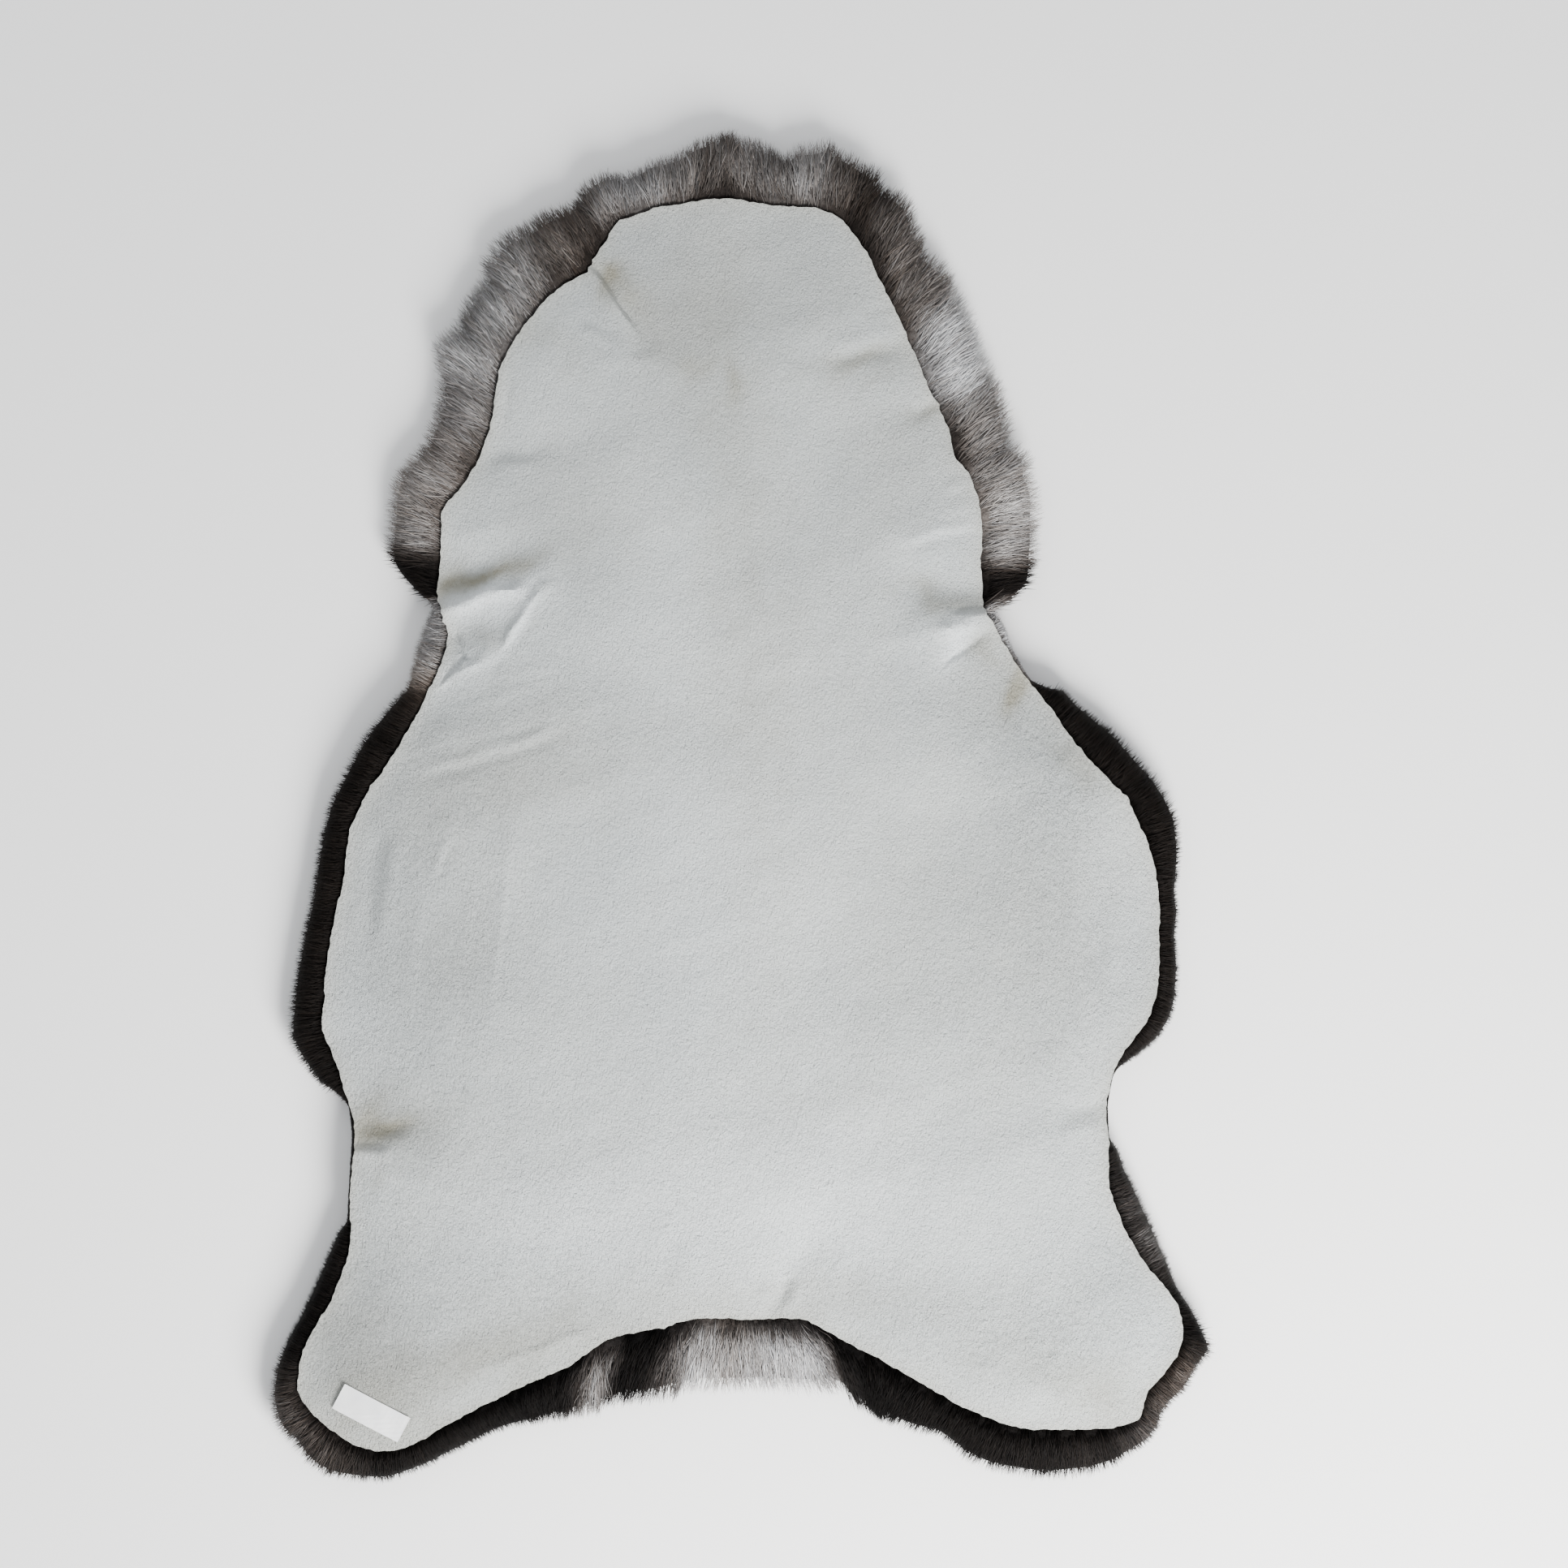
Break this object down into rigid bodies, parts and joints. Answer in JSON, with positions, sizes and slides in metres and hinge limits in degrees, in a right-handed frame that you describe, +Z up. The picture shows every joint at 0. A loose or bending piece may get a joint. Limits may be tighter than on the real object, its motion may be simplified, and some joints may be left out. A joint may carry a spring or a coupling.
{
  "type": "icelandic sheepskin rug",
  "caption": "Icelandic sheepskin rug lying fleece down, pale suede leather up, with silver-grey to black wool showing all round its edge and a small blank label.",
  "frame": {"origin": "on the floor, at the middle of the rug's footprint with its wool", "axes": "+Y from the tail to the neck, +Z up out of the leather, +X to the right of someone who looks down at the leather with the neck away from them"},
  "size_m": [0.7298, 1.0524, 0.0429],
  "materials": {
    "leather": "pale suede, matt, with soft folds",
    "wool": "long wool, silver grey at the neck to black at the sides",
    "label": "white satin, blank"
  },
  "bodies": {
    "root": {"skin": "leather", "fleece": "wool", "label": "label"}
  },
  "joints": []
}
